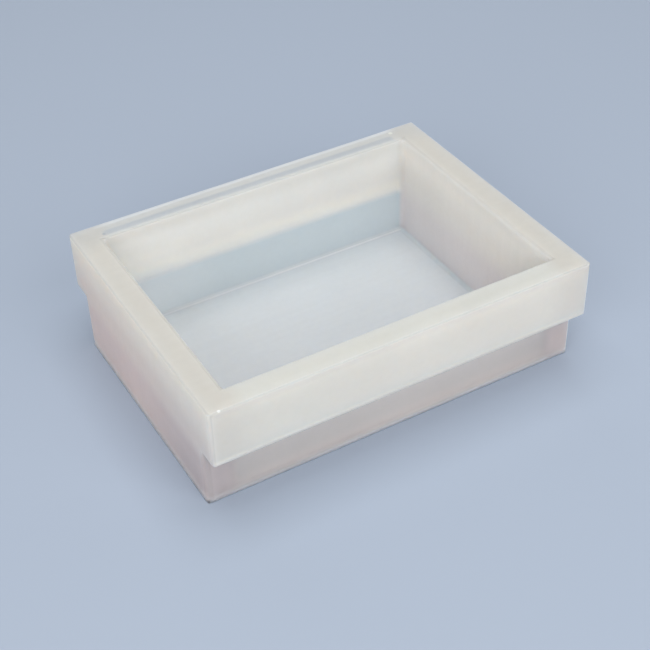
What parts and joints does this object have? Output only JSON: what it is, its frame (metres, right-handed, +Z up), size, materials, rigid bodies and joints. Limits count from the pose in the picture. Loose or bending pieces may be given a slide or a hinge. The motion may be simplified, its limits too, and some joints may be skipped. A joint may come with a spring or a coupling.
{
  "type": "soap mould",
  "caption": "Shallow rectangular silicone mould, open on top, with a thick overhanging rail along the top of each thin long side.",
  "frame": {"origin": "centre of the flat base, at the surface that the mould stands on", "axes": "+X along the long side towards the right end wall, +Y from the front rail to the back rail, +Z up out of the cavity's open top"},
  "size_m": [0.165, 0.127, 0.0508],
  "materials": {
    "silicone": "milky translucent cast silicone, satin, smooth"
  },
  "bodies": {
    "root": {"floor_panel": "silicone", "left_end_wall": "silicone", "right_end_wall": "silicone", "front_side_wall": "silicone", "back_side_wall": "silicone", "front_rail": "silicone", "back_rail": "silicone"}
  },
  "joints": []
}
